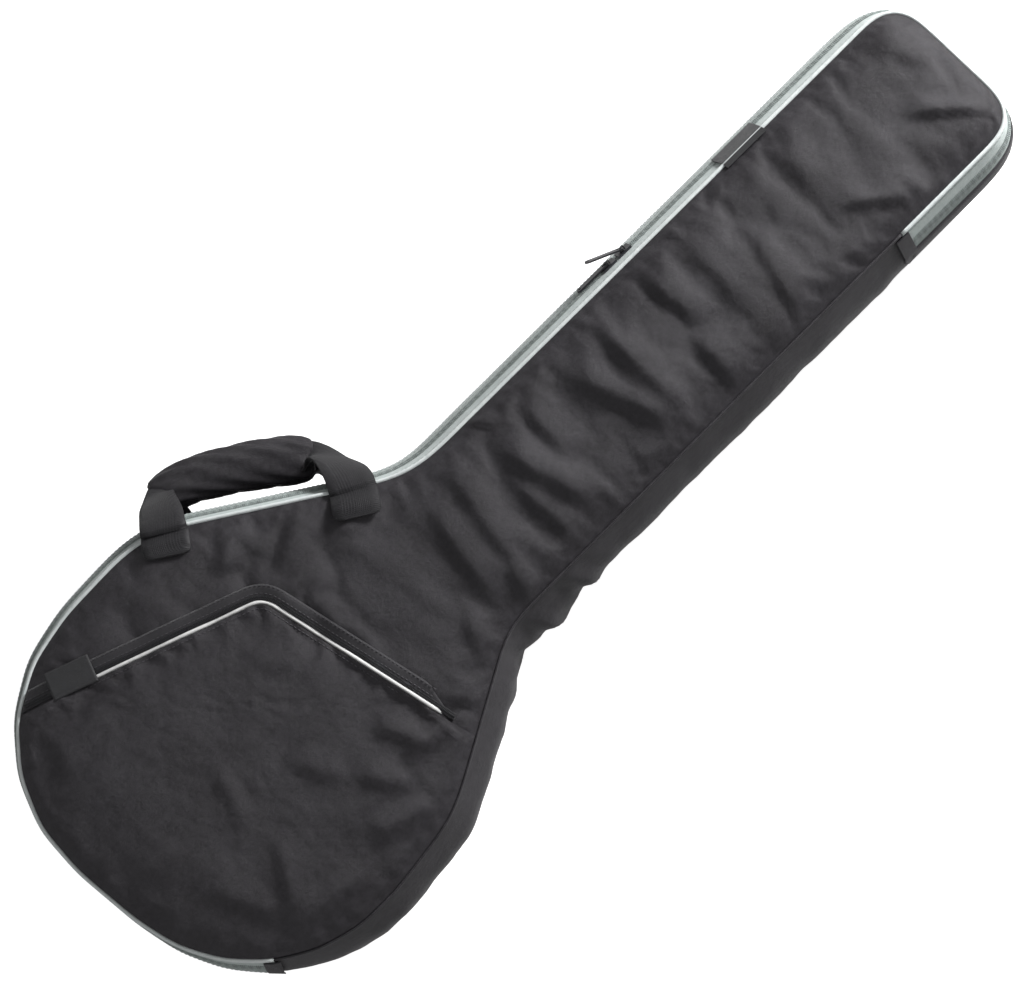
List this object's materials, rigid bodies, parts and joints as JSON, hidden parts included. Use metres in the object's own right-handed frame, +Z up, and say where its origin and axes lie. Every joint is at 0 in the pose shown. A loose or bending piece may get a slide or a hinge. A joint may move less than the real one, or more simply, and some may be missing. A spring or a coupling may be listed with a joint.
{
  "type": "banjo gig bag",
  "caption": "Padded banjo case lying flat: opening front panel, long zip with two sliders, chevron pocket with a flap, side handle and shoulder straps on the back.",
  "frame": {"origin": "on the ground under the middle of the bounding box", "axes": "+X from the bottom of the body to the head, +Y to the side with the handle, +Z up out of the front panel"},
  "size_m": [1.0476, 0.452, 0.1276],
  "materials": {
    "nylon": "woven nylon, matt",
    "foam": "closed-cell foam",
    "lining": "brushed lining",
    "zip_tape": "woven tape",
    "bright_strip": "woven tape",
    "piping": "soft matt",
    "webbing": "woven webbing",
    "black_plastic": "moulded",
    "label": "woven label",
    "black_metal": "satin paint"
  },
  "bodies": {
    "case_body": {"back_shell": "nylon", "gusset_shell": "nylon", "wall_shell": "nylon", "front_strip_shell": "nylon", "zip_tab_head": "nylon", "zip_tab_bottom": "nylon", "pocket_strip": "nylon", "handle_side_strap_pad": "nylon", "fold_side_strap_pad": "nylon", "handle_side_strap_anchor": "nylon", "fold_side_strap_anchor": "nylon", "back_foam": "foam", "gusset_foam": "foam", "wall_foam": "foam", "front_strip_foam": "foam", "back_lining": "lining", "gusset_lining": "lining", "wall_lining": "lining", "front_strip_lining": "lining", "zip_tape_back": "zip_tape", "zip_coil_back": "zip_tape", "back_binding": "webbing", "handle_strap_back": "webbing", "handle_side_pad_loop": "webbing", "fold_side_pad_loop": "webbing", "handle_side_strap_webbing": "webbing", "fold_side_strap_webbing": "webbing", "handle_side_ladder_lock": "black_plastic", "fold_side_ladder_lock": "black_plastic"},
    "front_panel": {"front_shell": "nylon", "front_foam": "foam", "front_lining": "lining", "front_binding": "webbing", "zip_tape_front": "bright_strip", "zip_coil_front": "zip_tape", "pocket_panel": "nylon", "pocket_zip_tape": "webbing", "pocket_zip_coil": "black_plastic", "pocket_label": "label", "side_label": "label", "handle_strap_front": "webbing", "grip_wrap": "nylon", "grip_loop_tape": "webbing"},
    "pocket_flap_body": {"pocket_flap": "nylon", "pocket_piping": "piping"},
    "grip_flap_body": {"grip_hook_tape": "webbing", "grip_flap": "nylon"},
    "upper_slider_body": {"upper_slider": "black_metal"},
    "upper_puller_body": {"upper_puller": "black_metal"},
    "lower_slider_body": {"lower_slider": "black_metal"},
    "lower_puller_body": {"lower_puller": "black_metal"},
    "pocket_slider_body": {"pocket_slider": "black_metal"},
    "pocket_puller_body": {"pocket_puller": "black_metal"}
  },
  "joints": [
    {"name": "front_hinge", "type": "hinge", "parent": "case_body", "child": "front_panel", "pos_m": [-0.4548, -0.1751, 0.1232], "axis": [0.9975, 0.0706, 0], "range_deg": [0, 170]},
    {"name": "pocket_flap_hinge", "type": "hinge", "parent": "front_panel", "child": "pocket_flap_body", "pos_m": [-0.4592, 0.1283, 0.1261], "axis": [0.6929, -0.721, 0], "range_deg": [0, 150]},
    {"name": "grip_flap_hinge", "type": "hinge", "parent": "front_panel", "child": "grip_flap_body", "pos_m": [-0.1434, 0.1559, 0.0508], "axis": [-0.8404, 0.542, 0], "range_deg": [0, 150]},
    {"name": "upper_slider_run", "type": "slide", "parent": "case_body", "child": "upper_slider_body", "axis": [1, 0, 0], "range_m": [0, 0.1]},
    {"name": "lower_slider_run", "type": "slide", "parent": "case_body", "child": "lower_slider_body", "axis": [-1, 0, 0], "range_m": [0, 0.2]},
    {"name": "upper_puller_hinge", "type": "hinge", "parent": "upper_slider_body", "child": "upper_puller_body", "pos_m": [0.1931, 0.0494, 0.096], "axis": [0, 0.5254, -0.8509], "range_deg": [-8, 105]},
    {"name": "lower_puller_hinge", "type": "hinge", "parent": "lower_slider_body", "child": "lower_puller_body", "pos_m": [0.1746, 0.0494, 0.096], "axis": [0, 0.5254, -0.8509], "range_deg": [0, 38]},
    {"name": "pocket_slider_run", "type": "slide", "parent": "front_panel", "child": "pocket_slider_body", "axis": [-0.2172, 0.9761, 0], "range_m": [0, 0.1]},
    {"name": "pocket_puller_hinge", "type": "hinge", "parent": "pocket_slider_body", "child": "pocket_puller_body", "pos_m": [-0.2083, -0.0912, 0.1248], "axis": [0.9761, 0.2172, 0], "range_deg": [0, 150]}
  ]
}
